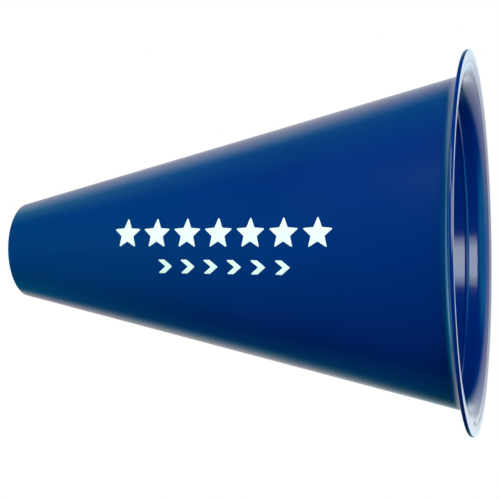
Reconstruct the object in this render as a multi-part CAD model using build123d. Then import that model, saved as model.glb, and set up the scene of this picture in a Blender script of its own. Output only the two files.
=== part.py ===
from build123d import *
import math
import os

# Cheer megaphone: a short speaking horn moulded in one piece, with a row of printed stars
# over a row of printed chevrons.
#
# Frame, in millimetres: the horn stands on its bell, the flange's front face lies on z = 0 and
# the origin is the centre of the bell mouth. +Z runs up the axis to the mouth end. The print
# faces -Y, and reads with the bell on its right (-Z) and +X upwards.

# The horn's outside
LENGTH = 203.2                # 8 in, flange face to mouth end
FLANGE_RADIUS = 79.4          # 6 1/4 in over the flange
FLANGE_FLAT_RADIUS = 77.5     # inside this the flange's face leans back into the bell
DISH = 6.0                    # degrees that it leans
CONE_BASE_RADIUS = 70.1       # the outer cone, carried down to z = 0
MOUTH_RADIUS = 21.15          # outside of the mouth end, 1 2/3 in across
WALL = 1.6                    # the same through cone, flare and flange

FLARE_RADIUS = 7.2            # the bell's inside, from the dished face to the cone

# Its rounded edges, and the low ring that holds it on the mould's core as the mould opens
FLANGE_EDGE_ROUND = 0.3
LIP_ROUND = 0.6
RING_START = 9.2              # height of the ring's lower side above the flange face
RING_WIDTH = 2.2
RING_HEIGHT = 0.45

# The print: ink laid on the cone by a pad that comes in along +Y
INK = 0.1                     # ink film, modelled thick enough to handle
PRINT_TILT = -0.9             # degrees, the whole print falls slightly towards the bell
STAR_COUNT = 7
STAR_RADIUS = 6.7
STAR_WAIST = 0.45             # inner corners' radius, as a part of the points' radius
STAR_PITCH = 14.35
STAR_ROW = (96.7, 5.2)        # middle of the row: height above the bell, offset along +X
CHEVRON_COUNT = 6
CHEVRON_TALL = 5.6
CHEVRON_WIDE = 6.8
CHEVRON_STROKE = 3.2
CHEVRON_PITCH = 10.6
CHEVRON_ROW = (95.3, -8.1)
PRINT_REACH = 75.0            # half the length of cone that the ink shell covers

# Derived: the cone's slope, the dish's slope and the wall measured along R and along Z
HALF_ANGLE = math.atan((CONE_BASE_RADIUS - MOUTH_RADIUS) / LENGTH)
SLOPE = math.tan(HALF_ANGLE)
NORMAL = Vector(math.cos(HALF_ANGLE), math.sin(HALF_ANGLE))
INNER_BASE_RADIUS = CONE_BASE_RADIUS - WALL / math.cos(HALF_ANGLE)
DISH_SLOPE = math.tan(math.radians(DISH))
DISH_WALL = WALL / math.cos(math.radians(DISH))


def outer_radius(height):
    """Radius of the cone's outside at a height above the bell."""
    return CONE_BASE_RADIUS - SLOPE * height


def inner_radius(height):
    """Radius of the cone's inside at a height above the bell."""
    return INNER_BASE_RADIUS - SLOPE * height


def wall_section():
    """The wall's outline, radius across and height up, closed into a face."""
    bend_front = FLANGE_FLAT_RADIUS
    bend_back = FLANGE_FLAT_RADIUS + WALL * math.tan(math.radians(DISH / 2))
    squeeze = 1 - SLOPE * DISH_SLOPE
    inner_corner = (bend_front - INNER_BASE_RADIUS) * DISH_SLOPE / squeeze
    outer_corner = ((bend_front - CONE_BASE_RADIUS) * DISH_SLOPE + DISH_WALL) / squeeze
    ring_low = Vector(inner_radius(RING_START), RING_START)
    ring_high = Vector(inner_radius(RING_START + RING_WIDTH), RING_START + RING_WIDTH)
    ring_crest = (ring_low + ring_high) * 0.5 - NORMAL * RING_HEIGHT
    mouth_outside = (MOUTH_RADIUS, LENGTH)
    mouth_inside = (inner_radius(LENGTH), LENGTH)
    outline = [
        Polyline(
            ring_low,
            (inner_radius(inner_corner), inner_corner),
            (bend_front, 0),
            (FLANGE_RADIUS, 0),
            (FLANGE_RADIUS, WALL),
            (bend_back, WALL),
            (outer_radius(outer_corner), outer_corner),
            mouth_outside,
            mouth_inside,
            ring_high,
        ),
        ThreePointArc(ring_high, ring_crest, ring_low),
    ]
    section = make_face(Curve() + outline)
    section = fillet(near(section, inner_radius(inner_corner), inner_corner), FLARE_RADIUS)
    section = fillet(near(section, outer_radius(outer_corner), outer_corner), FLARE_RADIUS - WALL)
    edge = [v for v in section.vertices() if v.X > FLANGE_RADIUS - 0.1]
    section = fillet(edge, FLANGE_EDGE_ROUND)
    lip = [v for v in section.vertices() if v.Y > LENGTH - 0.1]
    return fillet(lip, LIP_ROUND)


def near(section, radius, height):
    """The section's corner at a radius and height."""
    return [v for v in section.vertices() if math.hypot(v.X - radius, v.Y - height) < 0.01]


def horn():
    """The moulding: cone, flare, flange and core ring in one wall."""
    return revolve(Plane.XZ * wall_section(), Axis.Z)


def ink_shell():
    """A skin one ink film thick on the stretch of cone that carries the print."""
    low = STAR_ROW[0] - PRINT_REACH
    high = STAR_ROW[0] + PRINT_REACH
    inner_low = Vector(outer_radius(low), low)
    inner_high = Vector(outer_radius(high), high)
    film = NORMAL * INK
    skin = make_face(Polyline(inner_low, inner_low + film, inner_high + film, inner_high, close=True))
    return revolve(Plane.XZ * skin, Axis.Z)


def star():
    """Five-pointed star, one point up."""
    corners = []
    for i in range(10):
        radius = STAR_RADIUS if i % 2 == 0 else STAR_RADIUS * STAR_WAIST
        angle = math.radians(90 + 36 * i)
        corners.append((radius * math.cos(angle), radius * math.sin(angle)))
    return make_face(Polyline(*corners, close=True))


def chevron():
    """Blunt arrow stroke that points to the bell."""
    top = CHEVRON_TALL / 2
    back = -CHEVRON_WIDE / 2
    tip = CHEVRON_WIDE / 2
    corners = [(back, top), (back + CHEVRON_STROKE, top), (tip, 0), (back + CHEVRON_STROKE, -top),
               (back, -top), (tip - CHEVRON_STROKE, 0)]
    return make_face(Polyline(*corners, close=True))


def print_row(motif, count, pitch, row, skin):
    """One solid of ink for each motif of a row, from the mouth end to the bell."""
    height, offset = row
    facing = Plane(origin=(offset, -FLANGE_RADIUS, height), x_dir=(0, 0, -1), z_dir=(0, -1, 0))
    pad = facing * Rot(0, 0, PRINT_TILT)
    solids = []
    for i in range(count):
        along = (i - (count - 1) / 2) * pitch
        stamp = extrude(pad * Pos(along, 0) * motif, amount=-FLANGE_RADIUS)
        solids.append((stamp & skin).solid())
    return solids


def make_parts():
    """Every sub-part under its node name."""
    skin = ink_shell()
    parts = {"horn": horn()}
    stars = print_row(star(), STAR_COUNT, STAR_PITCH, STAR_ROW, skin)
    chevrons = print_row(chevron(), CHEVRON_COUNT, CHEVRON_PITCH, CHEVRON_ROW, skin)
    for i, solid in enumerate(stars, start=1):
        parts[f"print_star_{i}"] = solid
    for i, solid in enumerate(chevrons, start=1):
        parts[f"print_chevron_{i}"] = solid
    return parts


os.makedirs("parts", exist_ok=True)
for node, shape in make_parts().items():
    export_step(shape, f"parts/{node}.step")
    print(node, round(shape.volume, 2), shape.bounding_box())
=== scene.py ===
"""Cheer megaphone: the finished look of a small moulded speaking horn with a printed side.

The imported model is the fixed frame: metres, +Z up the axis from the bell to the mouth end, the
bell's flange on z = 0 and the print facing -Y.
"""
import math

import bpy
from mathutils import Matrix, Vector


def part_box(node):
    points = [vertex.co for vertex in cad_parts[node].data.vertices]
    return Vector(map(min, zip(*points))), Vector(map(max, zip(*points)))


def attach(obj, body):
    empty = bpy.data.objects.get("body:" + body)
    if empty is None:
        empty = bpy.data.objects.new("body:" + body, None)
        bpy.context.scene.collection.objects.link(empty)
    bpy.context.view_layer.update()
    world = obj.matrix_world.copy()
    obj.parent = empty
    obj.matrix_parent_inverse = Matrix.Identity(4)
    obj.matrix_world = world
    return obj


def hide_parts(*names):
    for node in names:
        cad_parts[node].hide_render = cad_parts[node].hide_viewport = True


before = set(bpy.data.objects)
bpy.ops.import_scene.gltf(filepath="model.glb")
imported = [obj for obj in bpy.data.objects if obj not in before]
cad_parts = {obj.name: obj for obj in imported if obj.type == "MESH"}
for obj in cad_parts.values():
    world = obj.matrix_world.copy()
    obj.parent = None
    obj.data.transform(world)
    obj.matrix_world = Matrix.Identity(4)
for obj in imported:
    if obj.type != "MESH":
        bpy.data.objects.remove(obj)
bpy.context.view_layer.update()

bl_info = {
    "name": "Cheer Megaphone",
    "version": (1, 0, 0),
    "blender": (4, 5, 0),
    "location": "View3D > Sidebar > Megaphone",
    "description": "Builds a moulded cheer megaphone, its print and a plain studio",
    "category": "Add Mesh",
}

MM = 0.001
BODY = "root"
HORN_NODE = "horn"
STAR_NODES = sorted(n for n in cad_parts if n.startswith("print_star_"))
CHEVRON_NODES = sorted(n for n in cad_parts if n.startswith("print_chevron_"))
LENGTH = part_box(HORN_NODE)[1].z
FLANGE_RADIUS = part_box(HORN_NODE)[1].x

# Small roundings of the moulding, and the bend on each side of the line between seat and dish
SEAT_EDGE = 0.2 * MM          # the rim, towards the bell's face
BACK_EDGE = 0.5 * MM          # the rim, towards the cone
RIM_CROWN = 2.0 * MM          # the slight swell of the rim between them
LIP_ROUND = 0.6 * MM          # both edges of the mouth end
SEAT_BEND = 0.4 * MM
# The groove in the dish, point by point: place across it, depth and lean of the surface
GROOVE = ((-0.22 * MM, 0.0, 0.3), (-0.12 * MM, 0.1 * MM, 0.9), (0.0, 0.16 * MM, 0.0),
          (0.12 * MM, 0.1 * MM, -0.9), (0.22 * MM, 0.0, -0.3))
GROOVE_REACH = 0.3 * MM       # from its middle to where the dish is plain again
GATE_INSET = 1.2 * MM         # from the groove inwards to the gate mark's middle

# Roundings of the print's corners, and the spacing of its mesh
STAR_TIP_ROUND = 0.3 * MM
STAR_WAIST_ROUND = 0.5 * MM
CHEVRON_ROUND = 0.25 * MM
INK_SPACING = 0.8 * MM

LIGHT_DISTANCE = 1.2          # metres from the horn to each soft box
FLOOR_DROP = 0.05 * MM        # the floor lies this far under the seat

# Soft boxes: azimuth and elevation in degrees, size in metres, radiance, whether gloss shows them.
# The front box has a brighter core, and a fill that lights the horn but doesn't shine in it.
SOFT_BOXES = {
    "front_box": (14.5, -16, (0.8, 0.5), (3.6, 4.0, 4.0), True),
    "front_core": (14.5, -16.5, (0.54, 0.49), (3.8, 4.1, 4.0), True),
    "front_fill": (14.5, -16, (0.78, 0.5), (3.6, 2.6, 3.3), False),
    "key_box": (62, 18, (0.9, 0.5), (2.6, 3.3, 1.7), False),
    "shine_box": (42, 12, (0.5, 0.3), (5.5, 5.5, 5.0), True),
    "fill_box": (35, 20, (0.9, 0.9), (0.5, 1.0, 0.9), False),
    "top_box": (115, 30, (0.9, 0.9), (2.0, 2.4, 1.9), False),
    "mouth_box": (10, 60, (0.6, 0.6), (1.2, 2.8, 1.2), False),
    "low_box": (-70, 20, (0.8, 0.8), (0.3, 0.1, 0.1), False),
}
# Glows of the surround: azimuth, elevation, radius and softness in degrees, colour
WALL_GLOWS = {
    "wall_high": (173, 40, 42, 12, (0.72, 0.72, 0.72)),
    "wall_low": (189, -38, 40, 14, (1.18, 1.2, 1.2)),
    "horizon": (180, -6, 16, 8, (0.6, 0.6, 0.6)),
}
SKY_GLOWS = {
    "overhead": (200, 72, 18, 8, (1.0, 2.2, 3.4)),
    "high_fringe": (115, 34, 18, 16, (0.0, 0.2, 0.1)),
    "low_fringe": (-126, 28, 14, 12, (0.0, 0.12, 0.22)),
    "sky": (0, 88, 46, 14, (0.0, 0.4, 0.2)),
    "mouth_high": (112, 54, 14, 12, (0.15, 0.3, 0.1)),
    "mouth_low": (-112, 56, 14, 12, (0.0, 0.3, 0.5)),
    "under": (0, -75, 35, 15, (0.1, 1.3, 1.4)),
}
# The wall's glows are dimmer in a strip behind the horn: its half width, as a direction's X, and
# the light that is left at its middle
WALL_GAP = 0.22
WALL_GAP_LIGHT = 0.55


# ---------------------------------------------------------------- settings

class HornSettings(bpy.types.PropertyGroup):
    """Sizes and colour of the moulding."""
    wall: bpy.props.FloatProperty(
        name="Wall", description="Wall thickness of cone, flare and flange",
        default=1.6 * MM, min=0.5 * MM, subtype="DISTANCE", unit="LENGTH")
    mouth_radius: bpy.props.FloatProperty(
        name="Mouth radius", description="Outer radius of the mouth end",
        default=21.15 * MM, subtype="DISTANCE", unit="LENGTH")
    base_radius: bpy.props.FloatProperty(
        name="Base radius", description="Outer radius of the cone, carried down to the bell face",
        default=70.1 * MM, subtype="DISTANCE", unit="LENGTH")
    flat_radius: bpy.props.FloatProperty(
        name="Flat radius", description="Inside this the flange's face leans back into the bell",
        default=77.5 * MM, subtype="DISTANCE", unit="LENGTH")
    dish: bpy.props.FloatProperty(
        name="Dish", description="How far the flange's face leans back",
        default=math.radians(6), subtype="ANGLE", unit="ROTATION")
    flare: bpy.props.FloatProperty(
        name="Flare radius", description="Bend of the bell's inside, from the dish to the cone",
        default=7.2 * MM, subtype="DISTANCE", unit="LENGTH")
    witness_radius: bpy.props.FloatProperty(
        name="Witness radius", description="Fine groove left on the dish by the mould's ring",
        default=75.0 * MM, subtype="DISTANCE", unit="LENGTH")
    ring_start: bpy.props.FloatProperty(
        name="Ring start", description="Height of the core ring's lower side",
        default=9.2 * MM, subtype="DISTANCE", unit="LENGTH")
    ring_width: bpy.props.FloatProperty(
        name="Ring width", description="Width of the core ring inside the bell",
        default=2.2 * MM, subtype="DISTANCE", unit="LENGTH")
    ring_height: bpy.props.FloatProperty(
        name="Ring height", description="How far the core ring stands off the wall",
        default=0.45 * MM, subtype="DISTANCE", unit="LENGTH")
    gate_turn: bpy.props.FloatProperty(
        name="Gate turn", description="Where the gate mark is, from -X towards -Y",
        default=math.radians(6.5), subtype="ANGLE", unit="ROTATION")
    segments: bpy.props.IntProperty(
        name="Segments", description="Faces round the horn", default=256, min=32)
    colour: bpy.props.FloatVectorProperty(
        name="Plastic", description="Colour of the plastic",
        default=(0.0001, 0.02, 0.167), size=3, subtype="COLOR", min=0, max=1)


class PrintSettings(bpy.types.PropertyGroup):
    """Sizes and colour of the ink patches."""
    film: bpy.props.FloatProperty(
        name="Ink film", description="Thickness of the ink",
        default=0.1 * MM, subtype="DISTANCE", unit="LENGTH")
    star_radius: bpy.props.FloatProperty(
        name="Star radius", description="Centre to point of a star",
        default=6.7 * MM, subtype="DISTANCE", unit="LENGTH")
    star_waist: bpy.props.FloatProperty(
        name="Star waist", description="Inner corners' radius as a part of the points' radius",
        default=0.45, min=0.1, max=1.0, subtype="FACTOR")
    chevron_tall: bpy.props.FloatProperty(
        name="Chevron height", description="Height of a chevron across the row",
        default=5.6 * MM, subtype="DISTANCE", unit="LENGTH")
    chevron_wide: bpy.props.FloatProperty(
        name="Chevron width", description="Width of a chevron along the row",
        default=6.8 * MM, subtype="DISTANCE", unit="LENGTH")
    chevron_stroke: bpy.props.FloatProperty(
        name="Chevron stroke", description="Width of a chevron's stroke along the row",
        default=3.2 * MM, subtype="DISTANCE", unit="LENGTH")
    colour: bpy.props.FloatVectorProperty(
        name="Ink", description="Colour of the ink",
        default=(0.95, 0.92, 0.97), size=3, subtype="COLOR", min=0, max=1)


class StageSettings(bpy.types.PropertyGroup):
    """Camera, floor and light."""
    lens: bpy.props.FloatProperty(
        name="Lens", description="Focal length on a 36 mm sensor", default=85.28, unit="CAMERA")
    distance: bpy.props.FloatProperty(
        name="Distance", description="From the camera to the middle of the horn's axis",
        default=0.5184, subtype="DISTANCE", unit="LENGTH")
    swing: bpy.props.FloatProperty(
        name="Swing", description="How far the camera swings round to look into the bell",
        default=math.radians(16.30), subtype="ANGLE", unit="ROTATION")
    roll: bpy.props.FloatProperty(
        name="Roll", description="Tilt of the horn in the picture",
        default=math.radians(0.78), subtype="ANGLE", unit="ROTATION")
    slide: bpy.props.FloatVectorProperty(
        name="Slide", description="The axis's middle, off the picture's centre: across and up",
        default=(-4.316 * MM, 1.395 * MM), size=2, subtype="TRANSLATION", unit="LENGTH")
    floor_radius: bpy.props.FloatProperty(
        name="Floor radius", description="Radius of the pale floor",
        default=2.5, subtype="DISTANCE", unit="LENGTH")


# ---------------------------------------------------------------- mesh helpers

def arc(centre, radius, start, end, steps):
    """Points and outward normals of an arc, as (radius, height) pairs."""
    points = []
    for i in range(steps + 1):
        angle = start + (end - start) * i / steps
        direction = Vector((math.cos(angle), math.sin(angle)))
        points.append((centre + direction * radius, direction))
    return points


def run(start, end, normal, steps, ends=True):
    """Points of a straight run with one normal, with or without its two ends."""
    first = 0 if ends else 1
    last = steps if ends else steps - 1
    return [(start.lerp(end, i / steps), normal) for i in range(first, last + 1)]


def lathe(name, outline, segments):
    """Turns a closed outline of (point, normal) pairs round Z, and keeps its normals."""
    vertices, normals, faces = [], [], []
    rows = len(outline)
    for s in range(segments):
        angle = 2 * math.pi * s / segments
        cosine, sine = math.cos(angle), math.sin(angle)
        for point, normal in outline:
            vertices.append((point.x * cosine, point.x * sine, point.y))
            normals.append((normal.x * cosine, normal.x * sine, normal.y))
    for s in range(segments):
        here, there = s * rows, (s + 1) % segments * rows
        for low in range(rows):
            high = (low + 1) % rows
            faces.append((here + low, there + low, there + high, here + high))
    mesh = bpy.data.meshes.new(name)
    mesh.from_pydata(vertices, [], faces)
    mesh.shade_smooth()
    mesh.normals_split_custom_set_from_vertices(normals)
    return mesh


def add_piece(name, mesh, material):
    """Links a piece of the megaphone, which rides on the one body."""
    piece = bpy.data.objects.new(name, mesh)
    bpy.context.scene.collection.objects.link(piece)
    mesh.materials.append(material)
    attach(piece, BODY)
    return piece


# ---------------------------------------------------------------- horn

class HornShape:
    """The wall's section worked out from the settings."""

    def __init__(self, sizes):
        self.sizes = sizes
        self.slope = (sizes.base_radius - sizes.mouth_radius) / LENGTH
        self.half_angle = math.atan(self.slope)
        self.out = Vector((math.cos(self.half_angle), math.sin(self.half_angle)))
        self.inner_base = sizes.base_radius - sizes.wall / self.out.x
        # the dish and the inner cone meet in a corner that the flare rounds
        self.dish_out = Vector((math.cos(sizes.dish), -math.sin(sizes.dish)))
        self.dish_back = Vector((math.sin(sizes.dish), math.cos(sizes.dish)))
        lean = math.tan(sizes.dish)
        corner = (sizes.flat_radius - self.inner_base) * lean / (1 - self.slope * lean)
        turn = math.pi / 2 - self.half_angle - sizes.dish
        self.flare_start = (Vector((self.inner(corner), corner))
                            + self.dish_out * sizes.flare * math.tan(turn / 2))
        self.flare_centre = self.flare_start + self.dish_back * sizes.flare

    def outer(self, z):
        """Radius of the cone's outside at a height."""
        return self.sizes.base_radius - self.slope * z

    def inner(self, z):
        """Radius of the cone's inside at a height."""
        return self.inner_base - self.slope * z

    def outline(self):
        """The closed section, counter-clockwise seen with radius right and height up."""
        sizes = self.sizes
        up, down = Vector((0, 1)), Vector((0, -1))
        quarter = math.pi / 2
        # flange: dish, flat seat, crowned rim, flat back
        points = self.dish_face()
        crown_centre = Vector((FLANGE_RADIUS - RIM_CROWN, sizes.wall / 2))
        low = math.asin((sizes.wall / 2 - SEAT_EDGE) / (RIM_CROWN - SEAT_EDGE))
        high = math.asin((sizes.wall / 2 - BACK_EDGE) / (RIM_CROWN - BACK_EDGE))
        seat_rim = crown_centre.x + (RIM_CROWN - SEAT_EDGE) * math.cos(low)
        back_rim = crown_centre.x + (RIM_CROWN - BACK_EDGE) * math.cos(high)
        back_bend = Vector((sizes.flat_radius + sizes.wall * math.tan(sizes.dish / 2), sizes.wall))
        points += run(Vector((sizes.flat_radius + SEAT_BEND, 0)), Vector((seat_rim, 0)), down, 2)
        points += arc(Vector((seat_rim, SEAT_EDGE)), SEAT_EDGE, -quarter, -low, 4)[1:]
        points += arc(crown_centre, RIM_CROWN, -low, high, 8)[1:]
        points += arc(Vector((back_rim, sizes.wall - BACK_EDGE)), BACK_EDGE, high, quarter, 6)[1:]
        points += run(Vector((back_rim, sizes.wall)), back_bend + Vector((SEAT_BEND, 0)), up, 2)[1:]
        points.append((back_bend, (up + self.dish_back).normalized()))
        points.append((back_bend - self.dish_out * SEAT_BEND, self.dish_back))
        # outside of the flare, then the cone up to the mouth end
        outer_flare = arc(self.flare_centre, sizes.flare - sizes.wall,
                          -quarter - sizes.dish, -math.pi + self.half_angle, 14)
        points += [(p, -n) for p, n in outer_flare]
        lip_out = self.lip_centre(outside=True)
        start, end = points[-1][0], lip_out + self.out * LIP_ROUND
        points += run(start, end, self.out, 30, ends=False)
        points += arc(lip_out, LIP_ROUND, self.half_angle, quarter, 5)
        lip_in = self.lip_centre(outside=False)
        points += arc(lip_in, LIP_ROUND, quarter, math.pi + self.half_angle, 6)
        # inside of the cone down to the core ring, the ring, and the flare
        ring_high = sizes.ring_start + sizes.ring_width
        start = points[-1][0]
        end = Vector((self.inner(ring_high), ring_high))
        points += run(start, end, -self.out, 30, ends=False)
        points += self.ring()
        inner_flare = arc(self.flare_centre, sizes.flare,
                          -math.pi + self.half_angle, -quarter - sizes.dish, 18)
        points += run(points[-1][0], inner_flare[0][0], -self.out, 4, ends=False)
        points += inner_flare[:-1]
        return points

    def dish_point(self, radius):
        """The place on the dish at a radius."""
        return Vector((radius, (self.sizes.flat_radius - radius) * math.tan(self.sizes.dish)))

    def dish_face(self):
        """The leaning part of the flange's face, with its fine groove, from the flare outwards."""
        sizes = self.sizes
        front = -self.dish_back
        flat_edge = Vector((sizes.flat_radius, 0))
        groove = self.dish_point(sizes.witness_radius)
        side = self.dish_out * GROOVE_REACH
        points = run(self.flare_start, groove - side, front, 3)[1:]
        for across, depth, lean in GROOVE:
            point = groove + self.dish_out * across + self.dish_back * depth
            points.append((point, (front + self.dish_out * lean).normalized()))
        points += run(groove + side, flat_edge - self.dish_out * SEAT_BEND, front, 3)
        points.append((flat_edge, (front + Vector((0, -1))).normalized()))
        return points

    def lip_centre(self, outside):
        """Centre of the arc that rounds one edge of the mouth end."""
        z = LENGTH - LIP_ROUND
        if outside:
            return Vector((self.outer(z) - LIP_ROUND / self.out.x, z))
        return Vector((self.inner(z) + LIP_ROUND / self.out.x, z))

    def ring(self):
        """The low core ring, a smooth swell on the inner wall, from its upper side down."""
        sizes = self.sizes
        steps = 12
        along = Vector((-self.out.y, self.out.x))
        half = sizes.ring_width / 2
        middle_z = sizes.ring_start + half
        middle = Vector((self.inner(middle_z), middle_z))
        points = []
        for i in range(steps + 1):
            t = 1 - 2 * i / steps
            height = sizes.ring_height * (1 + math.cos(math.pi * t)) / 2
            rise = -sizes.ring_height * math.pi * math.sin(math.pi * t) / 2 / half
            point = middle + along * half * t - self.out * height
            normal = (-self.out - along * rise).normalized()
            points.append((point, normal))
        return points


def gate_mesh(shape, sizes):
    """The torn-off stub of the mould's gate, a low round nub on the dish, inside its fine groove."""
    radius, height, sunk = 0.65 * MM, 0.14 * MM, 0.05 * MM
    place = shape.dish_point(sizes.witness_radius - GATE_INSET)
    across = Vector((-shape.dish_out.x, 0, shape.dish_out.y))
    out = Vector((shape.dish_back.x, 0, -shape.dish_back.y))
    centre = Vector((-place.x, 0, place.y))
    steps = 20
    # rings from the sunk foot over the torn edge into the hollow top: reach and lift of each
    rings = ((1.0, -sunk), (1.0, height * 0.6), (0.85, height), (0.45, height * 0.5))
    vertices = []
    for reach, lift in rings:
        for i in range(steps):
            angle = 2 * math.pi * i / steps
            ragged = 1 + 0.1 * math.sin(3 * angle + 0.7)
            flat = across * math.cos(angle) + Vector((0, 1, 0)) * math.sin(angle)
            vertices.append(centre + flat * radius * reach * ragged + out * lift)
    vertices.append(centre + out * height * 0.4)
    faces = []
    top = len(rings) - 1
    for ring in range(top):
        low, high = ring * steps, (ring + 1) * steps
        for i in range(steps):
            j = (i + 1) % steps
            faces.append((low + i, low + j, high + j, high + i))
    faces += [(top * steps + i, top * steps + (i + 1) % steps, len(rings) * steps)
              for i in range(steps)]
    faces.append(tuple(reversed(range(steps))))
    mesh = bpy.data.meshes.new("gate_mark")
    turn = Matrix.Rotation(sizes.gate_turn, 3, "Z")
    mesh.from_pydata([turn @ v for v in vertices], [], faces)
    mesh.shade_smooth()
    return mesh


class MEGAPHONE_OT_horn(bpy.types.Operator):
    """Build the one-piece moulded horn"""
    bl_idname = "megaphone.horn"
    bl_label = "Horn"

    def execute(self, context):
        settings = context.scene.megaphone_horn
        shape = HornShape(settings)
        mesh = lathe("horn_shell", shape.outline(), settings.segments)
        plastic = blue_plastic(settings)
        piece = add_piece("horn_shell", mesh, plastic)
        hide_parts(HORN_NODE)
        add_piece("gate_mark", gate_mesh(shape, settings), torn_plastic(settings))
        return {"FINISHED"}


# ---------------------------------------------------------------- print

def star_outline(sizes):
    """Five points, one up, as (along, up) corners with the radius that rounds each."""
    corners = []
    for i in range(10):
        tip = i % 2 == 0
        radius = sizes.star_radius if tip else sizes.star_radius * sizes.star_waist
        angle = math.radians(90 - 36 * i)
        round_radius = STAR_TIP_ROUND if tip else STAR_WAIST_ROUND
        corners.append((Vector((radius * math.cos(angle), radius * math.sin(angle))), round_radius))
    return corners


def chevron_outline(sizes):
    """A blunt arrow stroke that points along the row."""
    top = sizes.chevron_tall / 2
    back, tip, stroke = -sizes.chevron_wide / 2, sizes.chevron_wide / 2, sizes.chevron_stroke
    points = [(back, top), (back + stroke, top), (tip, 0), (back + stroke, -top),
              (back, -top), (tip - stroke, 0)]
    return [(Vector(p), CHEVRON_ROUND) for p in points]


def rounded(corners, spacing):
    """Rounds each corner and fills the straight sides with points about spacing apart."""
    arcs = []
    count = len(corners)
    for i, (corner, radius) in enumerate(corners):
        before = (corners[i - 1][0] - corner).normalized()
        after = (corners[(i + 1) % count][0] - corner).normalized()
        half = before.angle(after) / 2
        reach = radius / math.tan(half)
        centre = corner + (before + after).normalized() * radius / math.sin(half)
        first, last = corner + before * reach - centre, corner + after * reach - centre
        turn = first.angle_signed(last)
        steps = max(3, round(abs(turn) / math.radians(20)))
        arcs.append([centre + Matrix.Rotation(-turn * k / steps, 2) @ first
                     for k in range(steps + 1)])
    points = []
    for i, curve in enumerate(arcs):
        points += curve
        start, end = curve[-1], arcs[(i + 1) % count][0]
        steps = max(1, round((end - start).length / spacing))
        points += [start.lerp(end, k / steps) for k in range(1, steps)]
    return points


def ink_mesh(name, outline, hub, place, horn, film):
    """A patch of ink: a flat film with a rounded-off edge, laid on the cone and closed below."""
    outline = rounded(outline, INK_SPACING)
    reach = max((p - hub).length for p in outline)
    edge = film / reach
    # rings of the mesh: scale towards the hub, and height as a part of the film
    edge_rings = [(1.0, 0.0), (1 - 0.2 * edge, 0.62), (1 - 0.6 * edge, 0.92), (1 - 1.2 * edge, 1.0)]
    inner_count = max(2, round(reach / INK_SPACING))
    inner_rings = [(1 - k / inner_count, 1.0) for k in range(1, inner_count)]
    under = -0.1 * film
    loops = [(t, h * film) for t, h in reversed(edge_rings + inner_rings)]
    loops += [(1.0, under)] + [(t, under) for t, h in inner_rings]
    vertices = [lay(hub, film, place, horn)]
    for t, height in loops:
        vertices += [lay(hub.lerp(p, t), height, place, horn) for p in outline]
    vertices.append(lay(hub, under, place, horn))
    count = len(outline)
    faces = [(0, 1 + (k + 1) % count, 1 + k) for k in range(count)]
    for loop in range(len(loops) - 1):
        low, high = 1 + loop * count, 1 + (loop + 1) * count
        for k in range(count):
            beside = (k + 1) % count
            faces.append((low + k, low + beside, high + beside, high + k))
    last, base = len(vertices) - 1, 1 + (len(loops) - 1) * count
    faces += [(last, base + k, base + (k + 1) % count) for k in range(count)]
    mesh = bpy.data.meshes.new(name)
    mesh.from_pydata(vertices, [], faces)
    mesh.shade_smooth()
    return mesh


def lay(point, height, place, horn):
    """Where a point of the flat print lands on the cone, lifted off it by a height."""
    offset, up, tilt = place
    turned = Matrix.Rotation(tilt, 2) @ point
    x, z = offset + turned.y, up - turned.x
    y = -math.sqrt(horn.outer(z) ** 2 - x * x)
    outward = Vector((x * horn.out.x, y * horn.out.x, horn.outer(z) * horn.out.y)).normalized()
    return Vector((x, y, z)) + outward * height


def row_tilt(nodes):
    """Slope of a row of print, from the first to the last box's middle."""
    first, last = middle(nodes[0]), middle(nodes[-1])
    return math.atan2(first.x - last.x, first.z - last.z)


def middle(node):
    """Middle of a CAD node's box."""
    low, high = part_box(node)
    return (low + high) / 2


class MEGAPHONE_OT_print(bpy.types.Operator):
    """Lay the ink patches of both rows on the cone"""
    bl_idname = "megaphone.print"
    bl_label = "Print"

    def execute(self, context):
        settings = context.scene.megaphone_print
        horn = HornShape(context.scene.megaphone_horn)
        ink = white_ink(settings)
        star_drop = settings.star_radius * (1 - math.cos(math.radians(36))) / 2
        stroke_middle = Vector((settings.chevron_wide / 2 - settings.chevron_stroke / 2, 0))
        # nodes, outline, hub of the mesh, and how far the outline's origin is below the box's middle
        rows = [(STAR_NODES, star_outline(settings), Vector((0, 0)), star_drop),
                (CHEVRON_NODES, chevron_outline(settings), stroke_middle, 0)]
        for nodes, outline, hub, drop in rows:
            tilt = -row_tilt(nodes)
            for node in nodes:
                at = middle(node)
                place = (at.x - drop, at.z, tilt)
                name = node.replace("print_", "ink_")
                mesh = ink_mesh(name, outline, hub, place, horn, settings.film)
                piece = add_piece(name, mesh, ink)
                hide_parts(node)
        return {"FINISHED"}


# ---------------------------------------------------------------- materials

class Nodes:
    """Builds a node tree, a node and its links at a time."""

    def __init__(self, tree):
        self.tree = tree
        tree.nodes.clear()

    def add(self, kind, inputs=None, **settings):
        """One node, with its inputs linked or given a value, and its own settings."""
        node = self.tree.nodes.new(kind)
        for key, value in settings.items():
            setattr(node, key, value)
        for key, value in (inputs or {}).items():
            if isinstance(value, bpy.types.NodeSocket):
                self.tree.links.new(value, node.inputs[key])
            else:
                node.inputs[key].default_value = value
        return node

    def ramp(self, factor, stops):
        """A colour ramp with stops of (position, colour)."""
        node = self.add("ShaderNodeValToRGB", {"Fac": factor})
        elements = node.color_ramp.elements
        while len(elements) < len(stops):
            elements.new(0.5)
        for element, (position, colour) in zip(elements, stops):
            element.position = position
            element.color = (*colour, 1)
        return node

    def mix(self, blend, a, b):
        """Two colours mixed in full by a blend mode."""
        node = self.add("ShaderNodeMix", {0: 1.0, 6: a, 7: b}, data_type="RGBA", blend_type=blend)
        return node.outputs[2]


def new_material(name):
    """An empty material and its node builder."""
    material = bpy.data.materials.new(name)
    material.use_nodes = True
    return material, Nodes(material.node_tree)


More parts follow.
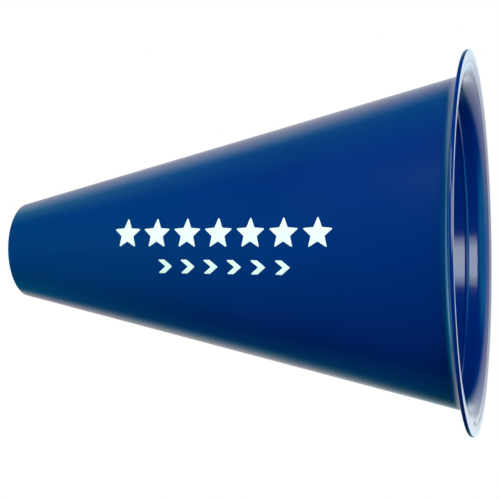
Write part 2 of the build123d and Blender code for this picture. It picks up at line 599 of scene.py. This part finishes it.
def shade(colour, factor):
    """A colour made lighter or darker."""
    return tuple(c * factor for c in colour)


def blue_plastic(settings):
    """Glossy moulded plastic: faint flow marks, orange peel and a little uneven gloss."""
    material, nodes = new_material("blue_plastic")
    place = nodes.add("ShaderNodeTexCoord").outputs["Object"]
    flow = nodes.add("ShaderNodeTexNoise", {"Vector": place, "Scale": 22.0, "Detail": 2.0})
    colour = nodes.ramp(flow.outputs["Fac"], [
        (0.3, shade(settings.colour, 0.95)),
        (0.7, shade(settings.colour, 1.05)),
    ])
    gloss_noise = nodes.add("ShaderNodeTexNoise", {"Vector": place, "Scale": 60.0, "Detail": 4.0})
    gloss = nodes.add("ShaderNodeMapRange", {
        "Value": gloss_noise.outputs["Fac"], "To Min": 0.1, "To Max": 0.2})
    peel = nodes.add("ShaderNodeTexNoise", {"Vector": place, "Scale": 1800.0, "Detail": 2.0})
    bump = nodes.add("ShaderNodeBump", {
        "Height": peel.outputs["Fac"], "Strength": 0.06, "Distance": 0.0001})
    shader = nodes.add("ShaderNodeBsdfPrincipled", {
        "Base Color": colour.outputs["Color"],
        "Roughness": gloss.outputs["Result"],
        "Normal": bump.outputs["Normal"],
        "IOR": 1.49,
    })
    nodes.add("ShaderNodeOutputMaterial", {"Surface": shader.outputs["BSDF"]})
    return material


def torn_plastic(settings):
    """The same plastic where the gate tore off: matt, and a little darker."""
    material, nodes = new_material("torn_plastic")
    place = nodes.add("ShaderNodeTexCoord").outputs["Object"]
    grain = nodes.add("ShaderNodeTexNoise", {"Vector": place, "Scale": 4000.0, "Detail": 2.0})
    bump = nodes.add("ShaderNodeBump", {
        "Height": grain.outputs["Fac"], "Strength": 0.5, "Distance": 0.00005})
    shader = nodes.add("ShaderNodeBsdfPrincipled", {
        "Base Color": (*shade(settings.colour, 0.7), 1),
        "Roughness": 0.55,
        "Normal": bump.outputs["Normal"],
        "IOR": 1.49,
    })
    nodes.add("ShaderNodeOutputMaterial", {"Surface": shader.outputs["BSDF"]})
    return material


def white_ink(settings):
    """Pad-printed ink: satin white, a shade thinner in specks."""
    material, nodes = new_material("white_ink")
    place = nodes.add("ShaderNodeTexCoord").outputs["Object"]
    specks = nodes.add("ShaderNodeTexNoise", {"Vector": place, "Scale": 900.0, "Detail": 3.0})
    colour = nodes.ramp(specks.outputs["Fac"], [
        (0.25, shade(settings.colour, 0.93)),
        (0.45, settings.colour),
    ])
    bump = nodes.add("ShaderNodeBump", {
        "Height": specks.outputs["Fac"], "Strength": 0.1, "Distance": 0.00005})
    shader = nodes.add("ShaderNodeBsdfPrincipled", {
        "Base Color": colour.outputs["Color"],
        "Roughness": 0.35,
        "Normal": bump.outputs["Normal"],
        "IOR": 1.5,
    })
    nodes.add("ShaderNodeOutputMaterial", {"Surface": shader.outputs["BSDF"]})
    return material


def pale_floor(radius):
    """Self-lit white card that shows from above only, with a painted contact shadow under the horn,
    and fades into the white.
    """
    material, nodes = new_material("pale_floor")
    near = nodes.add("ShaderNodeAmbientOcclusion", {"Distance": 0.12}, samples=8)
    # painted shadow: the card's colour darkens where the horn is near, by ambient occlusion, not by
    # the lamps
    painted_shadow_tone = nodes.ramp(near.outputs["AO"], [
        (0.0, (0.3, 0.31, 0.34)),
        (0.5, (0.66, 0.67, 0.7)),
        (0.9, (0.88, 0.88, 0.89)),
    ])
    card = nodes.add("ShaderNodeEmission", {"Color": painted_shadow_tone.outputs["Color"], "Strength": 1.0})
    clear = nodes.add("ShaderNodeBsdfTransparent")
    place = nodes.add("ShaderNodeTexCoord").outputs["Object"]
    away = nodes.add("ShaderNodeVectorMath", {0: place}, operation="LENGTH").outputs["Value"]
    fade = nodes.add("ShaderNodeMapRange", {
        "Value": away, "From Min": 0.06 * radius, "From Max": radius},
        interpolation_type="SMOOTHSTEP")
    side = nodes.add("ShaderNodeNewGeometry").outputs["Backfacing"]
    hidden = nodes.add("ShaderNodeMath", {0: fade.outputs["Result"], 1: side}, operation="MAXIMUM")
    mix = nodes.add("ShaderNodeMixShader", {
        0: hidden.outputs["Value"], 1: card.outputs["Emission"], 2: clear.outputs["BSDF"]})
    nodes.add("ShaderNodeOutputMaterial", {"Surface": mix.outputs["Shader"]})
    return material


# ---------------------------------------------------------------- stage

def add_camera(settings):
    """A camera beside the print, swung round and down to look a little into the bell.

    In its picture +X is up and the bell is on the right.
    """
    up = Vector((1, 0, 0))
    right = Vector((0, math.sin(settings.swing), -math.cos(settings.swing)))
    ahead = Vector((0, math.cos(settings.swing), math.sin(settings.swing)))
    turned_right = right * math.cos(settings.roll) - up * math.sin(settings.roll)
    turned_up = right * math.sin(settings.roll) + up * math.cos(settings.roll)
    axis_middle = Vector((0, 0, LENGTH / 2))
    across, upward = settings.slide
    place = axis_middle - turned_right * across - turned_up * upward - ahead * settings.distance
    data = bpy.data.cameras.new("camera")
    data.lens = settings.lens
    data.sensor_width = 36.0
    data.clip_start = 0.01
    data.clip_end = 50.0
    camera = bpy.data.objects.new("camera", data)
    rotation = Matrix((turned_right, turned_up, -ahead)).transposed()
    camera.matrix_world = Matrix.Translation(place) @ rotation.to_4x4()
    bpy.context.scene.collection.objects.link(camera)
    bpy.context.scene.camera = camera


def add_floor(radius):
    """A round pale floor under the bell."""
    mesh = bpy.data.meshes.new("floor")
    steps = 96
    turns = [2 * math.pi * i / steps for i in range(steps)]
    ring = [(radius * math.cos(turn), radius * math.sin(turn), 0) for turn in turns]
    mesh.from_pydata(ring, [], [tuple(range(steps))])
    mesh.materials.append(pale_floor(radius))
    floor = bpy.data.objects.new("floor", mesh)
    floor.location.z = -FLOOR_DROP
    floor.visible_shadow = False
    floor.visible_glossy = False
    floor.visible_diffuse = False
    bpy.context.scene.collection.objects.link(floor)


def aim_from(azimuth, elevation, distance):
    """A place seen from the middle of the horn. Azimuth 0 is -Y, 90 is +X; both in degrees."""
    a, e = math.radians(azimuth), math.radians(elevation)
    towards = Vector((math.sin(a) * math.cos(e), -math.cos(a) * math.cos(e), math.sin(e)))
    return towards * distance


def add_soft_box(name, azimuth, elevation, size, radiance, glossy):
    """A soft box that faces the horn. Its radiance is what its face shows, white being 1."""
    data = bpy.data.lights.new(name, "AREA")
    data.shape = "RECTANGLE"
    data.size, data.size_y = size
    peak = max(radiance)
    data.energy = peak * math.pi * size[0] * size[1]
    data.color = shade(radiance, 1 / peak)
    light = bpy.data.objects.new(name, data)
    away = aim_from(azimuth, elevation, LIGHT_DISTANCE)
    # a high box aims at the horn's middle, a low one at its bell
    light.location = away + Vector((0, 0, LENGTH / 2 if elevation > 0 else 0))
    light.rotation_mode = "QUATERNION"
    light.rotation_quaternion = away.to_track_quat("Z", "Y")
    light.visible_camera = False
    light.visible_glossy = glossy
    bpy.context.scene.collection.objects.link(light)


def glow(nodes, direction, azimuth, elevation, radius, softness, colour):
    """A round bright patch of the surround, as a colour. Its red fades first towards the edge."""
    towards = aim_from(azimuth, elevation, 1.0)
    facing = nodes.add("ShaderNodeVectorMath", {0: direction, 1: towards}, operation="DOT_PRODUCT")
    outer, inner = math.radians(radius + softness), math.radians(radius - softness)
    edge = nodes.add("ShaderNodeMapRange", {
        "Value": facing.outputs["Value"], "From Min": math.cos(outer), "From Max": math.cos(inner)})
    fade = nodes.ramp(edge.outputs["Result"], [
        (0.0, (0.0, 0.0, 0.0)),
        (0.3, (0.0, 0.1, 0.11)),
        (0.5, (0.18, 0.4, 0.44)),
        (0.8, (0.82, 0.9, 0.93)),
        (1.0, (1.0, 1.0, 1.0)),
    ])
    return nodes.mix("MULTIPLY", fade.outputs["Color"], (*colour, 1))


def add_glows(nodes, direction, glows, total=None):
    """Adds a group of glows, one by one, to the colour that is there already."""
    for place_and_colour in glows.values():
        patch = glow(nodes, direction, *place_and_colour)
        total = patch if total is None else nodes.mix("ADD", total, patch)
    return total


def add_world():
    """White behind everything, and bright patches round the horn that light it and shine in it."""
    world = bpy.data.worlds.new("studio")
    world.use_nodes = True
    bpy.context.scene.world = world
    nodes = Nodes(world.node_tree)
    direction = nodes.add("ShaderNodeTexCoord").outputs["Generated"]
    wall = add_glows(nodes, direction, WALL_GLOWS)
    across = nodes.add("ShaderNodeSeparateXYZ", {0: direction}).outputs["X"]
    off_middle = nodes.add("ShaderNodeMath", {0: across}, operation="ABSOLUTE").outputs["Value"]
    gap = nodes.add("ShaderNodeMapRange", {
        "Value": off_middle, "From Min": 0.0, "From Max": WALL_GAP, "To Min": WALL_GAP_LIGHT,
        "To Max": 1.0}, interpolation_type="SMOOTHSTEP")
    wall = nodes.mix("MULTIPLY", wall, gap.outputs["Result"])
    total = add_glows(nodes, direction, SKY_GLOWS, wall)
    lit = nodes.add("ShaderNodeBackground", {"Color": total, "Strength": 1.0})
    white = nodes.add("ShaderNodeBackground", {"Color": (1, 1, 1, 1), "Strength": 1.0})
    seen = nodes.add("ShaderNodeLightPath").outputs["Is Camera Ray"]
    mix = nodes.add("ShaderNodeMixShader", {
        0: seen, 1: lit.outputs["Background"], 2: white.outputs["Background"]})
    nodes.add("ShaderNodeOutputWorld", {"Surface": mix.outputs["Shader"]})


class MEGAPHONE_OT_stage(bpy.types.Operator):
    """Set the camera, floor, lights and white surround"""
    bl_idname = "megaphone.stage"
    bl_label = "Stage"

    def execute(self, context):
        settings = context.scene.megaphone_stage
        context.scene.view_settings.view_transform = "Standard"
        add_camera(settings)
        add_floor(settings.floor_radius)
        add_world()
        for name, box in SOFT_BOXES.items():
            add_soft_box(name, *box)
        return {"FINISHED"}


# ---------------------------------------------------------------- add-on

class MEGAPHONE_PT_panel(bpy.types.Panel):
    """Lists the pieces and their settings"""
    bl_idname = "MEGAPHONE_PT_panel"
    bl_label = "Cheer megaphone"
    bl_space_type = "VIEW_3D"
    bl_region_type = "UI"
    bl_category = "Megaphone"

    def draw(self, context):
        scene = context.scene
        for group, operator in ((scene.megaphone_horn, "megaphone.horn"),
                                (scene.megaphone_print, "megaphone.print"),
                                (scene.megaphone_stage, "megaphone.stage")):
            box = self.layout.box()
            for name in group.__annotations__:
                box.prop(group, name)
            box.operator(operator)


GROUPS = {
    "megaphone_horn": HornSettings,
    "megaphone_print": PrintSettings,
    "megaphone_stage": StageSettings,
}
CLASSES = (*GROUPS.values(), MEGAPHONE_OT_horn, MEGAPHONE_OT_print, MEGAPHONE_OT_stage,
           MEGAPHONE_PT_panel)


def register():
    """Adds the classes and their settings to Blender."""
    for cls in CLASSES:
        bpy.utils.register_class(cls)
    for name, group in GROUPS.items():
        setattr(bpy.types.Scene, name, bpy.props.PointerProperty(type=group))


def unregister():
    """Takes them out again."""
    for name in GROUPS:
        delattr(bpy.types.Scene, name)
    for cls in reversed(CLASSES):
        bpy.utils.unregister_class(cls)


def main():
    """Builds the megaphone and its stage."""
    register()
    bpy.ops.megaphone.stage()
    bpy.ops.megaphone.horn()
    bpy.ops.megaphone.print()


if __name__ == "__main__":
    main()
